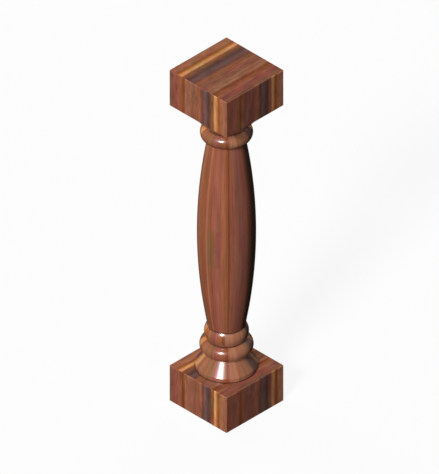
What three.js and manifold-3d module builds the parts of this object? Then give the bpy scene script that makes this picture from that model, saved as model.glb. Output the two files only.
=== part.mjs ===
// A turned wooden baluster, cut from one square blank: both ends stay square, and the stretch
// between them is turned to a foot, beads, a swelling shaft and a flared neck.
// Millimetres, +Z up, origin at the centre of the underside.
import * as THREE from 'three';
import { mergeVertices } from 'three/addons/utils/BufferGeometryUtils.js';
import Module from 'manifold-3d';

const wasm = await Module();
wasm.setup();

// Driving dimensions
const blankSide = 150;
const totalHeight = 750;
const blockHeight = 80;
const arrisEase = 1; // flat taken off each sharp edge of the square ends

const neckRadius = 35.5; // where every turned member starts and ends
const footRadius = 58; // widest turning, at the foot and below the upper block
const footBand = 8.5; // upright edge of the foot
const coneRise = 26.5; // slope between the widest turning and the neck, at both ends
const roundBeadHeight = 30; // half-round bead above the foot
const slimBeadHeight = 31; // flatter bead that the shaft stands on
const slimBeadSwell = 6.3;
const shaftLength = 421;
const bellyRadius = 55; // shaft at mid-length
const neckBeadHeight = 28; // half-round bead at the top of the shaft

// Facets
const sidesAround = 64;
const beadSteps = 8;
const slimBeadSteps = 6;
const shaftSteps = 18;

const runOn = 20; // how far the turned outline runs on inside each square end, to join it
const weldDistance = 1e-3;

const polishedWood = new THREE.MeshStandardMaterial({ color: 0x95593f, roughness: 0.3, metalness: 0 });

// Profile of the turned stretch, as points (radius, height) from the foot up

function pushSwell(profile, height, swell, steps) {
  // an arc that leaves the neck radius, stands out by swell half way, and comes back to it
  const start = profile[profile.length - 1].y;
  const half = height / 2;
  const arcRadius = (half * half + swell * swell) / (2 * swell);
  const arcCentre = neckRadius + swell - arcRadius;
  const halfAngle = Math.asin(Math.min(1, half / arcRadius));
  for (let step = 1; step <= steps; step += 1) {
    const angle = halfAngle * (2 * step / steps - 1);
    const radius = step === steps ? neckRadius : arcCentre + arcRadius * Math.cos(angle);
    profile.push(new THREE.Vector2(radius, start + half + arcRadius * Math.sin(angle)));
  }
}

function turnedProfile() {
  const footBase = blockHeight;
  const upperShoulder = totalHeight - blockHeight;
  const coneFoot = footBase + footBand;
  const profile = [
    new THREE.Vector2(0, footBase - runOn),
    new THREE.Vector2(footRadius, footBase - runOn),
    new THREE.Vector2(footRadius, coneFoot),
    new THREE.Vector2(neckRadius, coneFoot + coneRise),
  ];
  pushSwell(profile, roundBeadHeight, roundBeadHeight / 2, beadSteps);
  pushSwell(profile, slimBeadHeight, slimBeadSwell, slimBeadSteps);
  pushSwell(profile, shaftLength, bellyRadius - neckRadius, shaftSteps);
  pushSwell(profile, neckBeadHeight, neckBeadHeight / 2, beadSteps);
  const neckTop = profile[profile.length - 1].y;
  profile.push(
    new THREE.Vector2(footRadius, neckTop + coneRise),
    new THREE.Vector2(footRadius, upperShoulder + runOn),
    new THREE.Vector2(0, upperShoulder + runOn),
  );
  return profile;
}

function turnedGeometry() {
  const geometry = new THREE.LatheGeometry(turnedProfile(), sidesAround);
  geometry.rotateX(Math.PI / 2); // the lathe turns about Y
  return geometry;
}

// Square ends, with every arris eased

function blockGeometry(base) {
  const half = blankSide / 2 - arrisEase;
  const inner = half - arrisEase;
  const outline = new THREE.Shape([
    [half, -inner], [half, inner], [inner, half], [-inner, half],
    [-half, inner], [-half, -inner], [-inner, -half], [inner, -half],
  ].map(([x, y]) => new THREE.Vector2(x, y)));
  const geometry = new THREE.ExtrudeGeometry(outline, {
    depth: blockHeight - 2 * arrisEase,
    bevelEnabled: true,
    bevelThickness: arrisEase,
    bevelSize: arrisEase,
    bevelSegments: 1,
  });
  geometry.translate(0, 0, base + arrisEase);
  return geometry;
}

// Joining the blank's three stretches into the one solid that they are

function solidOf(geometry) {
  const bare = geometry.clone();
  bare.deleteAttribute('normal');
  bare.deleteAttribute('uv');
  const merged = mergeVertices(bare, weldDistance);
  const corners = merged.index.array;
  const triangles = []; // without those that close up to a line on the axis
  for (let first = 0; first < corners.length; first += 3) {
    const [a, b, c] = corners.slice(first, first + 3);
    if (a !== b && b !== c && c !== a) triangles.push(a, b, c);
  }
  return new wasm.Manifold(new wasm.Mesh({
    numProp: 3,
    vertProperties: new Float32Array(merged.attributes.position.array),
    triVerts: new Uint32Array(triangles),
  }));
}

function geometryOf(solid) {
  const mesh = solid.getMesh();
  const geometry = new THREE.BufferGeometry();
  geometry.setAttribute('position', new THREE.BufferAttribute(mesh.vertProperties, 3));
  geometry.setIndex(new THREE.BufferAttribute(mesh.triVerts, 1));
  geometry.computeVertexNormals();
  return geometry;
}

const lowerBlock = solidOf(blockGeometry(0));
const upperBlock = solidOf(blockGeometry(totalHeight - blockHeight));
const turnedStretch = solidOf(turnedGeometry());

const baluster = new THREE.Mesh(
  geometryOf(turnedStretch.add(lowerBlock).add(upperBlock)),
  polishedWood,
);
baluster.name = 'baluster';

const part = new THREE.Group();
part.add(baluster);

export default part;
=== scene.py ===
import math

import bpy
from mathutils import Color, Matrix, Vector


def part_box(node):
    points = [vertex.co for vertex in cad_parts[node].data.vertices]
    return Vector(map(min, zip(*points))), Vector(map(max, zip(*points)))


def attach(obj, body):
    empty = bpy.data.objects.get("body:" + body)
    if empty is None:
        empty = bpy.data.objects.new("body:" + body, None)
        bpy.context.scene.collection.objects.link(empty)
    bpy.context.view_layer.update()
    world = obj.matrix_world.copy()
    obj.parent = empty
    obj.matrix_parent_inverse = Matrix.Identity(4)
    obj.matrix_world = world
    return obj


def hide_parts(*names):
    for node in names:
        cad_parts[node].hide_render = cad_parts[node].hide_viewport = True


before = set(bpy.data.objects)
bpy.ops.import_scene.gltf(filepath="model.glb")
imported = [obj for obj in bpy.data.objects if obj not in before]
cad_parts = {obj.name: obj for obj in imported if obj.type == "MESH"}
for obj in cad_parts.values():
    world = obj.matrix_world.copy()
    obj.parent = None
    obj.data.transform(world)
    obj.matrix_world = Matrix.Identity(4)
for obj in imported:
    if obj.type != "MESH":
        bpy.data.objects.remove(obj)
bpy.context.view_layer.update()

blankLow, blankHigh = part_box("baluster")
blankHalf = (blankHigh.x - blankLow.x) / 2
blankRise = blankHigh.z - blankLow.z
print("frame: blank", round(2 * blankHalf, 4), "m square and", round(blankRise, 4), "m tall")


# helpers for every kind of node tree

nodeSpread = {"perRow": 12, "across": 220, "down": 260}  # layout in the node editor


def setInputs(tree, node, inputs):
    # a socket is linked, and a plain value is set
    for key, value in inputs.items():
        if isinstance(value, bpy.types.NodeSocket):
            tree.links.new(value, node.inputs[key])
        else:
            node.inputs[key].default_value = value


def addNode(tree, kind, inputs=None, **settings):
    node = tree.nodes.new(kind)
    down, across = divmod(len(tree.nodes), nodeSpread["perRow"])
    node.location = (nodeSpread["across"] * across, -nodeSpread["down"] * down)
    for name, value in settings.items():
        setattr(node, name, value)
    setInputs(tree, node, inputs or {})
    return node


def mathIn(tree):
    # short form for the many math nodes of one tree
    def calc(operation, first, second=0.0):
        return addNode(tree, "ShaderNodeMath", {0: first, 1: second}, operation=operation).outputs[0]
    return calc


def addMix(tree, kind, share, first, second):
    firstInput, output = {"FLOAT": (2, 0), "VECTOR": (4, 1), "RGBA": (6, 2)}[kind]
    inputs = {0: share, firstInput: first, firstInput + 1: second}
    return addNode(tree, "ShaderNodeMix", inputs, data_type=kind).outputs[output]


def addPoint(tree, x, y, z):
    return addNode(tree, "ShaderNodeCombineXYZ", {0: x, 1: y, 2: z}).outputs[0]


# the baluster's outline, as rows of points from the underside up

balusterShape = {
    "drawnSide": 150.0,     # the sizes below are millimetres on a blank of this side
    "blockRise": 80.0,      # each square end
    "arrisRound": 1.1,      # easing of the level edges
    "cornerRound": 1.7,     # easing of the upright edges
    "leastCorner": 0.425,   # what is left of it further in on the end faces
    "neckRadius": 35.5,     # where the turned members meet
    "footRadius": 58.0,
    "footBand": 8.5,        # upright edge of the foot
    "bandRound": 0.9,       # easing between that edge and the slope
    "coneRise": 26.5,
    "roundBead": 30.0,
    "slimBead": 31.0,
    "slimSwell": 6.3,
    "shaft": 421.0,
    "bellyRadius": 55.0,
    "neckBead": 28.0,
    "holdWidth": 2.4,       # from a crisp line to its nearest row, and the reach of stain and painted shade in a joint
    "blockSteps": 4,
    "easeSteps": 4,
    "coneSteps": 6,
    "beadSteps": 24,
    "slimSteps": 16,
    "shaftSteps": 64,
    "sides": 128,           # columns around, a multiple of 4
    "cornerSteps": 3,       # columns on each half of an eased upright edge
    "wrapRadius": 46.0,     # the grain of the turned stretch is wrapped round a cylinder of this radius
    "turnedDraw": 3.0,      # and runs this much longer
    "sharpAngle": 33.0,     # degrees, edges that turn more stay crisp
    "weldGap": 0.000002,    # metres
}
zoneCodes = {"flat": 0, "side": 1, "member": 2, "slim": 3, "shaft": 4}
rowFields = ("rise", "half", "corner", "radius", "square", "upright", "zone", "crease", "wear")


def drawn(name):
    return balusterShape[name] * 2 * blankHalf / balusterShape["drawnSide"]


def squareRow(rise, inset, zone, wear=0.0):
    half = blankHalf - inset
    corner = max(drawn("cornerRound") - inset, drawn("leastCorner"))
    corner = min(corner, half / 2)  # closes up with the square at the poles
    return {"rise": rise, "half": half, "corner": corner, "square": 1.0,
            "upright": float(zone == "side"), "zone": zoneCodes[zone], "wear": wear}


def roundRow(rise, radius, zone, crease=0.0):
    return {"rise": rise, "radius": radius, "zone": zoneCodes[zone], "crease": crease}


def arrisRows(level, upward):
    # quarter round between a flat and the sides, worn most half way round
    ease = drawn("arrisRound")
    rows = []
    for step in range(balusterShape["easeSteps"] + 1):
        turn = math.pi / 2 * step / balusterShape["easeSteps"]
        rise = level + upward * ease * (1 - math.cos(turn))
        rows.append(squareRow(rise, ease * (1 - math.sin(turn)), "side", math.sin(2 * turn)))
    return rows if upward > 0 else rows[::-1]


def blockRows(base):
    top = base + drawn("blockRise")
    margin = drawn("arrisRound") + drawn("holdWidth")
    steps = balusterShape["blockSteps"]
    between = [base + drawn("blockRise") * step / steps for step in range(1, steps)]
    levels = [base + margin] + between + [top - margin]
    rows = [squareRow(base, margin, "flat")] + arrisRows(base, 1)
    rows += [squareRow(level, 0.0, "side") for level in levels] + arrisRows(top, -1)
    rows[-1]["zone"] = zoneCodes["flat"]  # a row's zone is that of the faces above it
    return rows + [squareRow(top, margin, "flat")]


def memberRows(points, zone):
    # each member starts at the joint below it
    return [roundRow(point.y, point.x, zone, float(point is points[0])) for point in points]


def heldPoints(start, end, steps):
    hold = drawn("holdWidth") / (end - start).length
    shares = [hold] + [step / steps for step in range(1, steps)] + [1 - hold]
    return [start.lerp(end, share) for share in shares]


def easedBend(before, bend, after, radius):
    # arc that rounds the bend between two straight stretches
    inward = (before - bend).normalized()
    outward = (after - bend).normalized()
    halfAngle = inward.angle(outward) / 2
    centre = bend + (inward + outward).normalized() * radius / math.sin(halfAngle)
    start = bend + inward * radius / math.tan(halfAngle) - centre
    end = bend + outward * radius / math.tan(halfAngle) - centre
    steps = balusterShape["easeSteps"]
    arc = [start.lerp(end, step / steps).normalized() * radius for step in range(steps + 1)]
    return [centre + spoke for spoke in arc]


def footPoints(base):
    start = Vector((drawn("footRadius"), base))
    bend = start + Vector((0, drawn("footBand")))
    neck = Vector((drawn("neckRadius"), bend.y + drawn("coneRise")))
    arc = easedBend(start, bend, neck, drawn("bandRound"))
    band = [start, start + Vector((0, drawn("holdWidth")))]
    return band + arc + heldPoints(arc[-1], neck, balusterShape["coneSteps"])


def flarePoints(base, top):
    neck = Vector((drawn("neckRadius"), base))
    bend = Vector((drawn("footRadius"), base + drawn("coneRise")))
    end = Vector((bend.x, top))
    arc = easedBend(neck, bend, end, drawn("bandRound"))
    slope = heldPoints(neck, arc[0], balusterShape["coneSteps"])
    return [neck] + slope + arc + [end - Vector((0, drawn("holdWidth")))]


def swellPoints(base, rise, swell, steps):
    # arc that leaves the neck, stands out by swell half way up, and comes back
    neck = drawn("neckRadius")
    arcRadius = (rise * rise / 4 + swell * swell) / (2 * swell)
    halfTurn = math.asin(min(1, rise / 2 / arcRadius))
    shares = [step / steps for step in range(1, steps)]
    hold = drawn("holdWidth") / rise
    if hold < shares[0]:
        shares = [hold] + shares + [1 - hold]
    points = [Vector((neck, base))]
    for share in shares:
        turn = halfTurn * (2 * share - 1)
        radius = neck + swell - arcRadius * (1 - math.cos(turn))
        points.append(Vector((radius, base + rise / 2 + arcRadius * math.sin(turn))))
    return points


def stainAndShadeJoints(rows):
    # stain and painted shade are full in a joint and fade out beside it
    joints = [(row["radius"], row["rise"]) for row in rows if row["crease"]]
    for row in rows:
        spot = (row["radius"], row["rise"])
        gap = min(math.dist(spot, joint) for joint in joints)
        row["crease"] = max(0.0, 1 - gap / drawn("holdWidth"))


def balusterRows():
    lowerTop = drawn("blockRise")
    upperBase = blankRise - lowerTop
    ringRadius = drawn("footRadius") + drawn("holdWidth")
    swells = (
        ("roundBead", drawn("roundBead") / 2, "beadSteps", "member"),
        ("slimBead", drawn("slimSwell"), "slimSteps", "slim"),
        ("shaft", drawn("bellyRadius") - drawn("neckRadius"), "shaftSteps", "shaft"),
        ("neckBead", drawn("neckBead") / 2, "beadSteps", "member"),
    )
    rows = [squareRow(0, blankHalf, "flat")] + blockRows(0)
    rows.append(roundRow(lowerTop, ringRadius, "flat"))
    rows += memberRows(footPoints(lowerTop), "member")
    level = lowerTop + drawn("footBand") + drawn("coneRise")
    for name, swell, steps, zone in swells:
        rows += memberRows(swellPoints(level, drawn(name), swell, balusterShape[steps]), zone)
        level += drawn(name)
    rows += memberRows(flarePoints(level, upperBase), "member")
    rows.append(roundRow(upperBase, drawn("footRadius"), "flat", 1.0))
    rows.append(roundRow(upperBase, ringRadius, "flat"))
    stainAndShadeJoints([row for row in rows if "radius" in row])
    return rows + blockRows(upperBase) + [squareRow(blankRise, blankHalf, "flat")]


def rowPoints(rows):
    # a mesh with one point for each row, which the tree below reads by index
    mesh = bpy.data.meshes.new("balusterRows")
    mesh.from_pydata([(0, 0, row["rise"]) for row in rows], [], [])
    for field in rowFields:
        values = mesh.attributes.new(field, "FLOAT", "POINT").data
        values.foreach_set("value", [float(row.get(field, 0.0)) for row in rows])
    return mesh


# Geometry Nodes tree that wraps the rows round the axis, square where the blank stays square

def namedValue(tree, name):
    return addNode(tree, "GeometryNodeInputNamedAttribute", {"Name": name}, data_type="FLOAT").outputs[0]


def storeValue(tree, mesh, name, value, domain="POINT", kind="FLOAT"):
    inputs = {"Geometry": mesh, "Name": name, "Value": value}
    settings = {"data_type": kind, "domain": domain}
    return addNode(tree, "GeometryNodeStoreNamedAttribute", inputs, **settings).outputs[0]


def rowValue(tree, given, field):
    # a face lies between two rows and takes the lower one's value
    row = mathIn(tree)("FLOOR", namedValue(tree, "row"))
    inputs = {"Geometry": given["Rows"], "Value": namedValue(tree, field), "Index": row}
    return addNode(tree, "GeometryNodeSampleIndex", inputs, data_type="FLOAT", domain="POINT").outputs[0]


def valueByZone(tree, kind, values):
    # one value for each zone code
    node = addNode(tree, "GeometryNodeIndexSwitch", data_type=kind)
    while len(node.index_switch_items) < len(values):
        node.index_switch_items.new()
    setInputs(tree, node, dict(enumerate([namedValue(tree, "zone")] + values)))
    return node.outputs[0]


def addGrid(tree, given):
    # a row for each point given, and a column for each side with the seam doubled
    calc = mathIn(tree)
    size = addNode(tree, "GeometryNodeAttributeDomainSize", {"Geometry": given["Rows"]}).outputs
    columns = calc("ADD", given["Sides"], 1.0)
    inputs = {"Vertices X": size["Point Count"], "Vertices Y": columns}
    mesh = addNode(tree, "GeometryNodeMeshGrid", inputs).outputs["Mesh"]
    index = addNode(tree, "GeometryNodeInputIndex").outputs[0]
    mesh = storeValue(tree, mesh, "row", calc("FLOOR", calc("DIVIDE", index, columns)))
    return storeValue(tree, mesh, "col", calc("MODULO", index, columns))


def columnsPerSide(tree, given):
    return mathIn(tree)("DIVIDE", given["Sides"], 4.0)


def sidesPassed(tree, given):
    # how far round the square a column stands, in sides
    return mathIn(tree)("DIVIDE", namedValue(tree, "col"), columnsPerSide(tree, given))


def placeOnSide(tree, given, side):
    # a column's place on the flat of a side, from -1 to 1, and how far round the eased corner it is
    calc = mathIn(tree)
    cornerColumns = calc("MULTIPLY", given["Corner Steps"], 2.0)
    flatShare = calc("SUBTRACT", 1.0, calc("DIVIDE", cornerColumns, columnsPerSide(tree, given)))
    place = calc("SUBTRACT", sidesPassed(tree, given), side)
    place = calc("SUBTRACT", calc("MULTIPLY", place, 2.0), 1.0)
    held = calc("MAXIMUM", calc("MINIMUM", calc("DIVIDE", place, flatShare), 1.0), -1.0)
    past = calc("MAXIMUM", calc("SUBTRACT", calc("ABSOLUTE", place), flatShare), 0.0)
    onFlat = calc("SINE", calc("MULTIPLY", held, math.pi / 2))
    eased = calc("DIVIDE", past, calc("SUBTRACT", 1.0, flatShare))
    return onFlat, eased


def squareSpot(tree, given, rise):
    calc = mathIn(tree)
    side = calc("FLOOR", sidesPassed(tree, given))
    onFlat, eased = placeOnSide(tree, given, side)
    turn = calc("MULTIPLY", eased, math.pi / 4)
    corner = rowValue(tree, given, "corner")
    core = calc("SUBTRACT", rowValue(tree, given, "half"), corner)
    out = calc("ADD", core, calc("MULTIPLY", corner, calc("COSINE", turn)))
    roundOff = calc("MULTIPLY", calc("SIGN", onFlat), calc("MULTIPLY", corner, calc("SINE", turn)))
    along = calc("ADD", calc("MULTIPLY", onFlat, core), roundOff)
    firstFacing = math.pi  # the first side faces -X
    facing = calc("ADD", calc("MULTIPLY", side, math.pi / 2), firstFacing)
    facingCos, facingSin = calc("COSINE", facing), calc("SINE", facing)
    return addPoint(
        tree,
        calc("SUBTRACT", calc("MULTIPLY", out, facingCos), calc("MULTIPLY", along, facingSin)),
        calc("ADD", calc("MULTIPLY", out, facingSin), calc("MULTIPLY", along, facingCos)),
        rise,
    )


def shareRound(tree, given):
    return mathIn(tree)("DIVIDE", namedValue(tree, "col"), given["Sides"])


def roundSpot(tree, given, radius, rise):
    calc = mathIn(tree)
    firstTurn = 0.75 * math.pi  # the first column stands at the back arris
    around = calc("ADD", calc("MULTIPLY", shareRound(tree, given), 2 * math.pi), firstTurn)
    return addPoint(
        tree,
        calc("MULTIPLY", radius, calc("COSINE", around)),
        calc("MULTIPLY", radius, calc("SINE", around)),
        rise,
    )


def markWood(tree, given, mesh):
    # what the wood needs to know: stain and painted shade in the joints, wear on the edges, the zone and
    # side of each face
    calc = mathIn(tree)
    side = calc("FLOOR", sidesPassed(tree, given))
    eased = placeOnSide(tree, given, side)[1]
    cornerWear = calc("MULTIPLY", eased, rowValue(tree, given, "upright"))
    mesh = storeValue(tree, mesh, "crease", rowValue(tree, given, "crease"))
    mesh = storeValue(tree, mesh, "wear", calc("MAXIMUM", rowValue(tree, given, "wear"), cornerWear))
    mesh = storeValue(tree, mesh, "zone", rowValue(tree, given, "zone"), "FACE")
    mesh = storeValue(tree, mesh, "facing", side, "FACE")
    crossSide = calc("SUBTRACT", 1.0, calc("MODULO", namedValue(tree, "facing"), 2.0))
    isSide = calc("COMPARE", namedValue(tree, "zone"), zoneCodes["side"])
    return storeValue(tree, mesh, "crossSide", calc("MULTIPLY", crossSide, isSide), "FACE")


def layGrain(tree, given, mesh):
    # streak is the share across the figure, grain is where the noise is read, with its length along Z
    calc = mathIn(tree)
    position = addNode(tree, "GeometryNodeInputPosition").outputs[0]
    here = addNode(tree, "ShaderNodeSeparateXYZ", {0: position}).outputs
    facing = namedValue(tree, "facing")
    onFlat = placeOnSide(tree, given, facing)[0]
    blankSide = calc("MULTIPLY", given["Blank Half"], 2.0)
    flatShift = 2.0  # metres, sets the end faces apart in the noise
    streaks = [
        calc("SUBTRACT", 0.5, calc("DIVIDE", here["X"], blankSide)),
        calc("ADD", calc("MULTIPLY", onFlat, 0.5), 0.5),
        shareRound(tree, given),
    ]
    flatAcross = calc("MULTIPLY", here["X"], -1.0)
    sideAcross = calc("MULTIPLY", onFlat, given["Blank Half"])
    turnedAlong = calc("DIVIDE", here["Z"], given["Turned Draw"])
    grains = [
        addPoint(tree, flatAcross, calc("ADD", here["Z"], flatShift), here["Y"]),
        addPoint(tree, sideAcross, facing, here["Z"]),
        roundSpot(tree, given, given["Wrap Radius"], turnedAlong),
    ]
    moreTurned = len(zoneCodes) - len(streaks)  # every zone after the first two is turned
    streak = valueByZone(tree, "FLOAT", streaks + streaks[-1:] * moreTurned)
    grain = valueByZone(tree, "VECTOR", grains + grains[-1:] * moreTurned)
    mesh = storeValue(tree, mesh, "streak", streak, "CORNER")
    return storeValue(tree, mesh, "grain", grain, "CORNER", "FLOAT_VECTOR")


def closeMesh(tree, given, mesh):
    # seam and poles closed, faces outwards, crisp lines kept
    inputs = {"Geometry": mesh, "Distance": given["Weld Gap"]}
    mesh = addNode(tree, "GeometryNodeMergeByDistance", inputs).outputs[0]
    mesh = addNode(tree, "GeometryNodeFlipFaces", {"Mesh": mesh}).outputs[0]
    mesh = addNode(tree, "GeometryNodeSetShadeSmooth", {"Geometry": mesh, "Shade Smooth": True}).outputs[0]
    edgeTurn = addNode(tree, "GeometryNodeInputMeshEdgeAngle").outputs["Unsigned Angle"]
    crisp = mathIn(tree)("GREATER_THAN", edgeTurn, given["Sharp Angle"])
    inputs = {"Geometry": mesh, "Selection": crisp, "Shade Smooth": False}
    return addNode(tree, "GeometryNodeSetShadeSmooth", inputs, domain="EDGE").outputs[0]


def buildTurningTree():
    tree = bpy.data.node_groups.new("turnedBlank", "GeometryNodeTree")
    sockets = {
        "Rows": "Geometry",
        "Sides": "Int",
        "Corner Steps": "Int",
        "Blank Half": "Float",
        "Wrap Radius": "Float",
        "Turned Draw": "Float",
        "Sharp Angle": "Float",
        "Weld Gap": "Float",
        "Wood": "Material",
    }
    for name, kind in sockets.items():
        tree.interface.new_socket(name, in_out="INPUT", socket_type="NodeSocket" + kind)
    tree.interface.new_socket("Baluster", in_out="OUTPUT", socket_type="NodeSocketGeometry")
    given = addNode(tree, "NodeGroupInput").outputs
    mesh = addGrid(tree, given)
    rise = rowValue(tree, given, "rise")
    turned = roundSpot(tree, given, rowValue(tree, given, "radius"), rise)
    spot = addMix(tree, "VECTOR", rowValue(tree, given, "square"), turned, squareSpot(tree, given, rise))
    mesh = addNode(tree, "GeometryNodeSetPosition", {"Geometry": mesh, "Position": spot}).outputs[0]
    mesh = markWood(tree, given, mesh)
    mesh = layGrain(tree, given, mesh)
    for spent in ("row", "col", "facing"):
        mesh = addNode(tree, "GeometryNodeRemoveAttribute", {"Geometry": mesh, "Name": spent}).outputs[0]
    mesh = closeMesh(tree, given, mesh)
    mesh = addNode(tree, "GeometryNodeRealizeInstances", {"Geometry": mesh}).outputs[0]
    mesh = addNode(tree, "GeometryNodeSetMaterial", {"Geometry": mesh, "Material": given["Wood"]}).outputs[0]
    addNode(tree, "NodeGroupOutput", {"Baluster": mesh})
    return tree


# polished wood: streaked figure, fine fibres and pores under a clear varnish

woodTones = {  # the wood's own colours, 0 to 255
    "brown": (140, 86, 66),
    "oliveBrown": (131, 85, 62),
    "redBrown": (148, 87, 67),
    "orangeBrown": (146, 85, 57),
    "mauveBrown": (138, 83, 72),
    "darkBrown": (108, 68, 54),
    "oliveTan": (150, 94, 69),
    "clay": (158, 95, 69),
    "tan": (157, 105, 80),
    "lightTan": (164, 104, 76),
    "paleTan": (167, 111, 85),
    "creamTan": (182, 117, 88),
    "palePink": (166, 100, 82),
    "rose": (146, 78, 69),
    "roseBrown": (156, 90, 75),
    "olive": (134, 90, 61),
    "golden": (213, 153, 102),
    "sand": (200, 134, 96),
    "honey": (186, 128, 80),
    "amber": (176, 102, 46),
    "rust": (146, 80, 44),
    "plum": (115, 81, 78),
    "umber": (90, 63, 57),
    "redLine": (130, 68, 40),
}
woodFigure = {
    "block": (  # share of the width of a square end
        (0.0, "oliveBrown"), (0.05, "oliveBrown"), (0.085, "rose"), (0.125, "rose"), (0.148, "oliveTan"),
        (0.178, "orangeBrown"), (0.208, "orangeBrown"), (0.228, "redLine"), (0.246, "redLine"),
        (0.284, "tan"), (0.318, "oliveTan"), (0.352, "tan"), (0.388, "brown"), (0.46, "brown"),
        (0.488, "oliveTan"), (0.507, "orangeBrown"), (0.535, "oliveTan"), (0.555, "brown"),
        (0.585, "darkBrown"), (0.61, "plum"), (0.64, "plum"), (0.69, "umber"), (0.71, "darkBrown"),
        (0.748, "oliveBrown"), (0.775, "rust"), (0.803, "golden"), (0.823, "golden"), (0.85, "amber"),
        (0.872, "rust"), (0.905, "lightTan"), (0.945, "lightTan"), (1.0, "oliveTan"),
    ),
    "crossBlock": (  # the same on the sides that face X
        (0.0, "redBrown"), (0.08, "redBrown"), (0.11, "roseBrown"), (0.16, "roseBrown"), (0.194, "redBrown"),
        (0.212, "oliveTan"), (0.232, "redLine"), (0.242, "redLine"), (0.268, "oliveTan"),
        (0.29, "oliveTan"), (0.325, "mauveBrown"), (0.47, "mauveBrown"), (0.49, "redBrown"),
        (0.505, "roseBrown"), (0.53, "redBrown"), (0.56, "brown"), (0.59, "darkBrown"), (0.62, "plum"),
        (0.66, "plum"), (0.708, "umber"), (0.73, "darkBrown"), (0.752, "brown"), (0.78, "redBrown"),
        (0.805, "sand"), (0.828, "sand"), (0.85, "amber"), (0.87, "rust"), (0.885, "orangeBrown"),
        (0.92, "creamTan"), (1.0, "creamTan"),
    ),
    "member": (  # degrees round the turning from the front arris, rising to the right
        (-180, "brown"), (-165, "brown"), (-125, "redBrown"), (-104, "plum"), (-97, "plum"), (-91, "amber"),
        (-86, "honey"), (-76, "honey"), (-71, "rust"), (-66, "oliveTan"), (-48, "oliveTan"), (-42, "olive"),
        (-31, "olive"), (-27, "rose"), (-18, "rose"), (-14, "orangeBrown"), (-5, "orangeBrown"),
        (-1, "redLine"), (3, "redLine"), (8, "paleTan"), (13, "tan"), (19, "paleTan"), (27, "oliveTan"),
        (36, "tan"), (55, "tan"), (62, "plum"), (72, "plum"), (80, "umber"), (92, "honey"), (100, "rust"),
        (130, "redBrown"), (180, "brown"),
    ),
    "slim": (  # the thinner bead shows its streaks further round
        (-180, "brown"), (-125, "redBrown"), (-100, "plum"), (-88, "honey"), (-77, "honey"), (-72, "amber"),
        (-67, "amber"), (-62, "rust"), (-57, "orangeBrown"), (-52, "lightTan"), (-48, "lightTan"),
        (-45, "olive"), (-42, "olive"), (-38, "rose"), (-30, "rose"), (-27, "oliveTan"),
        (-22, "orangeBrown"), (-14, "orangeBrown"), (-11, "redLine"), (-7.5, "redLine"), (-2, "tan"),
        (2, "paleTan"), (6, "tan"), (14, "paleTan"), (20, "tan"), (45, "paleTan"), (58, "tan"),
        (66, "plum"), (78, "umber"), (92, "honey"), (110, "redBrown"), (180, "brown"),
    ),
    "shaft": (
        (-180, "brown"), (-160, "tan"), (-148, "redBrown"), (-130, "redLine"), (-126, "oliveTan"),
        (-105, "redBrown"), (-92, "rust"), (-80, "lightTan"), (-65, "lightTan"), (-58, "orangeBrown"),
        (-45, "orangeBrown"), (-43.5, "palePink"), (-40, "palePink"), (-38.5, "orangeBrown"),
        (-28, "redBrown"), (-20, "roseBrown"), (-13, "redBrown"), (-8, "clay"), (3, "orangeBrown"),
        (4.2, "redLine"), (6, "redLine"), (7.5, "redBrown"), (11, "redBrown"), (18, "brown"),
        # from 60 to 84 degrees, the side turned away from the key light, the dark brown is painted shade
        (26, "mauveBrown"), (34, "mauveBrown"), (43, "redBrown"), (50, "brown"), (60, "darkBrown"),
        (84, "darkBrown"), (120, "oliveTan"), (180, "brown"),
    ),
    "fleck": (  # two short dashes of colour on the belly of the shaft
        (-180, "olive"), (-23.5, "olive"), (-21.5, "rose"), (180, "rose"),
    ),
}
woodFinish = {
    "layers": {  # metres across and along the grain, the place in the noise, and how finely it breaks up
        "wander": {"across": 0.02, "along": 0.3, "shift": 0.0, "detail": 2.0},
        "band": {"across": 0.0034, "along": 0.22, "shift": 3.0, "detail": 3.0},
        "patch": {"across": 0.011, "along": 0.034, "shift": 5.0, "detail": 2.0},
        "cast": {"across": 0.016, "along": 0.05, "shift": 17.0, "detail": 2.0},
        "dash": {"across": 0.0022, "along": 0.016, "shift": 9.0, "detail": 2.0},
        "fibre": {"across": 0.0011, "along": 0.06, "shift": 7.0, "detail": 2.0},
        "pore": {"across": 0.0005, "along": 0.011, "shift": 11.0, "detail": 1.0},
    },
    "noiseSpan": (0.3, 0.7),        # most of the noise lies between these
    "blockWander": 0.006,           # how far a streak strays, as a share of the figure
    "turnedWander": 0.003,
    "flatPatches": 1.15,            # patches and dashes show more on the end faces
    "turnedPatches": 0.65,          # and less on the turned stretch
    "turnedCasts": 0.85,
    "bandDepth": 0.3,               # how much of the tone each of them takes, from end to end
    "patchDepth": 0.38,
    "dashDepth": 0.28,
    "fibreDepth": 0.1,
    "poreDepth": 0.3,
    "poreFrom": (0.74, 1.0),        # the share of the noise that is open pore
    "rosyCast": (1.09, 0.935, 0.97),
    "oliveCast": (0.91, 1.06, 0.99),
    # darker in the joints: stain, and painted shade where the members meet
    "creaseStainAndShade": 0.85,
    "wearLift": 0.15,
    "flatSoakAndShade": 0.1,                # the end faces are darker: they soak up more stain, and painted shade dims the top face under the light from above
    "fleckAround": (-39.5, -12),    # degrees
    "fleckUp": (0.446, 0.557),      # share of the height
    "fleckSoft": 0.003,
    "fleckStrength": 0.85,
    "roughness": 0.36,
    "roughnessSpread": 0.06,
    "creaseRoughness": 0.15,
    "bumpStrength": 0.14,
    "bumpHeight": 0.00025,
    "fibreLift": 0.5,               # height of a fibre against the depth of a pore
    "shineLevel": 0.2,              # of the wood under the varnish
    "coatRoughness": 0.2,
    "coatIndex": 1.6,
    "flatCoat": 0.02,               # share of the varnish that stands on the end faces
    "wornCoat": 0.85,               # share of it that the arrises and joints lose
}


def woodTone(name):
    red, green, blue = woodTones[name]
    tone = Color((red / 255, green / 255, blue / 255)).from_srgb_to_scene_linear()
    return (tone.r, tone.g, tone.b, 1.0)


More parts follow.
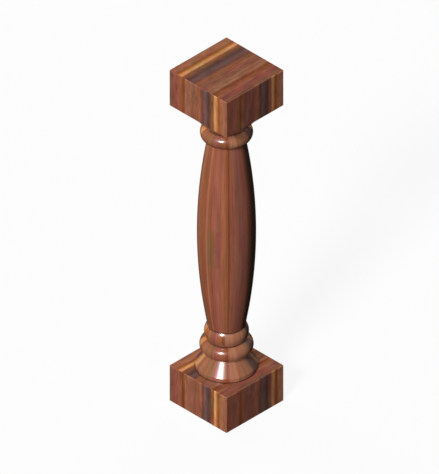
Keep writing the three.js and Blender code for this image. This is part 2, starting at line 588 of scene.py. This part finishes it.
def shareAround(degrees):
    return (degrees + 180) / 360


def readAttribute(tree, name, output="Fac"):
    return addNode(tree, "ShaderNodeAttribute", attribute_name=name).outputs[output]


def stretched(tree, value, limits):
    # the limits become 0 and 1
    inputs = {"Value": value, "From Min": limits[0], "From Max": limits[1]}
    return addNode(tree, "ShaderNodeMapRange", inputs).outputs[0]


def window(tree, value, limits, soft):
    # 1 between the limits, fading out over soft at each end
    rising = {"Value": value, "From Min": limits[0] - soft, "From Max": limits[0] + soft}
    falling = {"Value": value, "From Min": limits[1] + soft, "From Max": limits[1] - soft}
    ends = [addNode(tree, "ShaderNodeMapRange", inputs, interpolation_type="SMOOTHSTEP").outputs[0]
            for inputs in (rising, falling)]
    return mathIn(tree)("MULTIPLY", ends[0], ends[1])


def without(tree, value, share):
    calc = mathIn(tree)
    return calc("SUBTRACT", 1.0, calc("MULTIPLY", value, share))


def grainNoise(tree, grain, layer):
    # noise drawn out along the grain, filling 0 to 1
    across, along = 1 / layer["across"], 1 / layer["along"]
    shift = (layer["shift"], 0, layer["shift"])
    inputs = {"Vector": grain, "Location": shift, "Scale": (across, across, along)}
    where = addNode(tree, "ShaderNodeMapping", inputs).outputs[0]
    noise = addNode(tree, "ShaderNodeTexNoise", {"Vector": where, "Scale": 1.0, "Detail": layer["detail"]})
    return stretched(tree, noise.outputs["Fac"], woodFinish["noiseSpan"])


def addStreaks(tree, place, streaks):
    ramp = addNode(tree, "ShaderNodeValToRGB", {"Fac": place})
    stops = ramp.color_ramp.elements
    stops.remove(stops[1])
    stops[0].position = streaks[0][0]
    stops[0].color = woodTone(streaks[0][1])
    for share, tone in streaks[1:]:
        stops.new(share).color = woodTone(tone)
    return ramp.outputs["Color"]


def fleckMask(tree, place):
    # where the two dashes stand on the shaft
    calc = mathIn(tree)
    here = addNode(tree, "ShaderNodeTexCoord").outputs["Object"]
    up = addNode(tree, "ShaderNodeSeparateXYZ", {0: here}).outputs["Z"]
    upLimits = [share * blankRise for share in woodFinish["fleckUp"]]
    aroundLimits = [shareAround(degrees) for degrees in woodFinish["fleckAround"]]
    soft = woodFinish["fleckSoft"]
    fleck = calc("MULTIPLY", window(tree, up, upLimits, soft), window(tree, place, aroundLimits, soft))
    return calc("MULTIPLY", fleck, woodFinish["fleckStrength"])


def figureColour(tree, zones, wander):
    # the streaks of each zone, straying a little along their length
    calc = mathIn(tree)
    blockReach, turnedReach = woodFinish["blockWander"] * 2, woodFinish["turnedWander"] * 2
    reach = addMix(tree, "FLOAT", zones["turned"], blockReach, turnedReach)
    stray = calc("MULTIPLY", calc("SUBTRACT", wander, 0.5), reach)
    place = calc("ADD", readAttribute(tree, "streak"), stray)
    streaks = {name: addStreaks(tree, place, woodFigure[name]) for name in ("block", "crossBlock")}
    for name in ("member", "slim", "shaft", "fleck"):
        around = [(shareAround(degrees), tone) for degrees, tone in woodFigure[name]]
        streaks[name] = addStreaks(tree, place, around)
    shaft = addMix(tree, "RGBA", fleckMask(tree, place), streaks["shaft"], streaks["fleck"])
    colour = addMix(tree, "RGBA", readAttribute(tree, "crossSide"), streaks["block"], streaks["crossBlock"])
    colour = addMix(tree, "RGBA", zones["turned"], colour, streaks["member"])
    colour = addMix(tree, "RGBA", zones["slim"], colour, streaks["slim"])
    return addMix(tree, "RGBA", zones["shaft"], colour, shaft)


def grainDepth(tree, grain, patches, flat, crease, wear):
    # bands, patches, short dashes, fibres, pores, stain with painted shade in the joints and on the end
    # faces, and wear change how deep the colour is
    finish = woodFinish
    calc = mathIn(tree)

    def swing(layer, depth):
        # 1 in the middle of the noise, and depth apart between its ends
        return calc("ADD", calc("MULTIPLY", calc("SUBTRACT", grain[layer], 0.5), depth), 1.0)

    shades = (
        swing("band", finish["bandDepth"]),
        swing("patch", calc("MULTIPLY", patches, finish["patchDepth"])),
        swing("dash", calc("MULTIPLY", patches, finish["dashDepth"])),
        swing("fibre", finish["fibreDepth"]),
        without(tree, grain["pore"], finish["poreDepth"]),
        # stain and painted shade in the joints
        without(tree, crease, finish["creaseStainAndShade"]),
        # end faces darker: soaked-up stain and painted shade
        without(tree, flat, finish["flatSoakAndShade"]),
        calc("ADD", calc("MULTIPLY", wear, finish["wearLift"]), 1.0),
    )
    depth = shades[0]
    for shade in shades[1:]:
        depth = calc("MULTIPLY", depth, shade)
    return depth


def castColour(tree, cast, patches, turned):
    # slow changes between a rosier and a greener cast
    calc = mathIn(tree)
    casts = addMix(tree, "FLOAT", turned, patches, woodFinish["turnedCasts"])
    lean = calc("ADD", calc("MULTIPLY", calc("SUBTRACT", cast, 0.5), casts), 0.5)
    return addMix(tree, "VECTOR", lean, woodFinish["rosyCast"], woodFinish["oliveCast"])


def polishedWood():
    material = bpy.data.materials.new("polishedWood")
    material.use_nodes = True
    tree = material.node_tree
    finish = woodFinish
    calc = mathIn(tree)
    zone = readAttribute(tree, "zone")
    zones = {name: calc("COMPARE", zone, zoneCodes[name]) for name in ("flat", "slim", "shaft")}
    zones["turned"] = calc("GREATER_THAN", zone, zoneCodes["side"] + 0.5)
    along = readAttribute(tree, "grain", "Vector")
    grain = {name: grainNoise(tree, along, layer) for name, layer in finish["layers"].items()}
    grain["pore"] = stretched(tree, grain["pore"], finish["poreFrom"])
    crease = readAttribute(tree, "crease")
    wear = readAttribute(tree, "wear")

    colour = figureColour(tree, zones, grain["wander"])
    patches = addMix(tree, "FLOAT", zones["turned"], 1.0, finish["turnedPatches"])
    patches = addMix(tree, "FLOAT", zones["flat"], patches, finish["flatPatches"])
    cast = castColour(tree, grain["cast"], patches, zones["turned"])
    depth = grainDepth(tree, grain, patches, zones["flat"], crease, wear)
    colour = addNode(tree, "ShaderNodeVectorMath", {0: colour, 1: cast}, operation="MULTIPLY").outputs[0]
    colour = addNode(tree, "ShaderNodeVectorMath", {0: colour, "Scale": depth}, operation="SCALE").outputs[0]

    rough = calc("MULTIPLY", calc("SUBTRACT", grain["fibre"], 0.5), finish["roughnessSpread"])
    rough = calc("ADD", rough, calc("MULTIPLY", crease, finish["creaseRoughness"]))
    height = calc("SUBTRACT", calc("MULTIPLY", grain["fibre"], finish["fibreLift"]), grain["pore"])
    inputs = {"Strength": finish["bumpStrength"], "Distance": finish["bumpHeight"], "Height": height}
    bump = addNode(tree, "ShaderNodeBump", inputs).outputs[0]
    coat = without(tree, zones["flat"], 1 - finish["flatCoat"])
    coat = calc("MULTIPLY", coat, without(tree, calc("MAXIMUM", wear, crease), finish["wornCoat"]))
    setInputs(tree, tree.nodes["Principled BSDF"], {
        "Base Color": colour,
        "Roughness": calc("ADD", rough, finish["roughness"]),
        "Normal": bump,
        "Coat Weight": coat,
        "Specular IOR Level": finish["shineLevel"],
        "Coat Roughness": finish["coatRoughness"],
        "Coat IOR": finish["coatIndex"],
    })
    return material


def makeBaluster():
    baluster = bpy.data.objects.new("turned_baluster", rowPoints(balusterRows()))
    bpy.context.scene.collection.objects.link(baluster)
    turning = baluster.modifiers.new("turning", "NODES")
    turning.node_group = buildTurningTree()
    inputs = {
        "Sides": balusterShape["sides"],
        "Corner Steps": balusterShape["cornerSteps"],
        "Blank Half": blankHalf,
        "Wrap Radius": drawn("wrapRadius"),
        "Turned Draw": balusterShape["turnedDraw"],
        "Sharp Angle": math.radians(balusterShape["sharpAngle"]),
        "Weld Gap": balusterShape["weldGap"],
        "Wood": polishedWood(),
    }
    for socket in turning.node_group.interface.items_tree:
        if socket.name in inputs:
            turning[socket.identifier] = inputs[socket.name]
    graph = bpy.context.evaluated_depsgraph_get()
    turned = bpy.data.meshes.new_from_object(
        baluster.evaluated_get(graph), preserve_all_data_layers=True, depsgraph=graph)
    baluster.modifiers.remove(turning)
    baluster.data = turned
    return baluster


baluster = makeBaluster()
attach(baluster, "root")
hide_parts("baluster")
print("baluster:", len(baluster.data.vertices), "points,", len(baluster.data.polygons), "faces")


# camera, lights and floor

studio = {
    "imageSize": (439, 474),        # pixels
    "pixelsPerMetre": 539.4,
    "middleSpot": (226.5, 235.2),   # column and row of the baluster's middle in the image
    "cameraCompass": (45.0, 35.264),  # degrees round from -Y towards +X, and up
    "cameraReach": 4.0,
    "suns": {  # each with its own compass, and its width in degrees
        "key": {"compass": (19.5, 38.0), "strength": 2.26, "width": 12.0},
        # the same light without shadows, which keeps the key's shadows open
        "open": {"compass": (19.5, 38.0), "strength": 1.86, "width": 12.0, "shadow": False},
        # soft light on the left side
        "fill": {"compass": (-86.0, 5.0), "strength": 2.1, "width": 40.0, "glossy": False},
        # light on the back, which hardly reaches what the front view shows
        "back": {"compass": (203.5, 0.0), "strength": 2.5, "width": 46.0, "glossy": False},
        # shows only in the varnish, on the beads at the back
        "sheen": {"compass": (222.0, 73.0), "strength": 1.0, "width": 12.0, "diffuse": False},
    },
    "ambient": 0.034,
    "mirrored": 0.012,              # the surroundings as the varnish shows them
    "paleWorld": 0.97,
    "floorHalf": 12.0,
    "floorDrop": 0.0002,
    "floorGlow": 0.85,
    "floorShade": 0.13,             # share of the light that the floor sends back, which shows the shadow
}


def towards(compass):
    azimuth, elevation = (math.radians(angle) for angle in compass)
    level = math.cos(elevation)
    return Vector((math.sin(azimuth) * level, -math.cos(azimuth) * level, math.sin(elevation)))


def aimedFrom(compass):
    return (-towards(compass)).to_track_quat("-Z", "Y")


def placeCamera():
    data = bpy.data.cameras.new("frontCamera")
    camera = bpy.data.objects.new("frontCamera", data)
    bpy.context.scene.collection.objects.link(camera)
    width, height = studio["imageSize"]
    column, row = studio["middleSpot"]
    aim = aimedFrom(studio["cameraCompass"])
    offset = Vector(((width / 2 - column), (row - height / 2), 0)) / studio["pixelsPerMetre"]
    middle = Vector((0, 0, blankRise / 2)) + aim @ offset
    data.type = "ORTHO"
    data.ortho_scale = height / studio["pixelsPerMetre"]
    camera.location = middle + towards(studio["cameraCompass"]) * studio["cameraReach"]
    camera.rotation_mode = "QUATERNION"
    camera.rotation_quaternion = aim
    bpy.context.scene.camera = camera


def placeSun(name, compass, strength, width, shadow=True, diffuse=True, glossy=True):
    data = bpy.data.lights.new(name + "Sun", "SUN")
    data.energy = strength
    data.angle = math.radians(width)
    data.use_shadow = shadow
    sun = bpy.data.objects.new(name + "Sun", data)
    sun.rotation_mode = "QUATERNION"
    sun.rotation_quaternion = aimedFrom(compass)
    sun.visible_diffuse = diffuse
    sun.visible_glossy = glossy
    bpy.context.scene.collection.objects.link(sun)


def paleSurroundings():
    # the camera sees pale surroundings, and the wood gets only a little light from them
    world = bpy.data.worlds.new("studioWorld")
    world.use_nodes = True
    tree = world.node_tree
    tree.nodes.clear()
    ray = addNode(tree, "ShaderNodeLightPath").outputs
    strength = addMix(tree, "FLOAT", ray["Is Glossy Ray"], studio["ambient"], studio["mirrored"])
    strength = addMix(tree, "FLOAT", ray["Is Camera Ray"], strength, studio["paleWorld"])
    sky = addNode(tree, "ShaderNodeBackground", {"Color": (1, 1, 1, 1), "Strength": strength})
    addNode(tree, "ShaderNodeOutputWorld", {0: sky.outputs[0]})
    bpy.context.scene.world = world


def paleFloor():
    reach = studio["floorHalf"]
    corners = [(-reach, -reach), (reach, -reach), (reach, reach), (-reach, reach)]
    mesh = bpy.data.meshes.new("floor")
    mesh.from_pydata([(x, y, -studio["floorDrop"]) for x, y in corners], [], [(0, 1, 2, 3)])
    material = bpy.data.materials.new("paleFloor")
    material.use_nodes = True
    shade = studio["floorShade"]
    setInputs(material.node_tree, material.node_tree.nodes["Principled BSDF"], {
        "Base Color": (shade, shade, shade, 1),
        "Roughness": 1.0,
        "Specular IOR Level": 0.0,
        "Emission Color": (1, 1, 1, 1),
        "Emission Strength": studio["floorGlow"],
    })
    mesh.materials.append(material)
    floor = bpy.data.objects.new("floor", mesh)
    bpy.context.scene.collection.objects.link(floor)
    floor.visible_diffuse = False  # its glow stays off the wood
    floor.visible_glossy = False


placeCamera()
for sunName, sunValues in studio["suns"].items():
    placeSun(sunName, **sunValues)
paleSurroundings()
paleFloor()
bpy.context.scene.view_settings.view_transform = "Standard"
print("studio: camera,", len(studio["suns"]), "suns, floor")
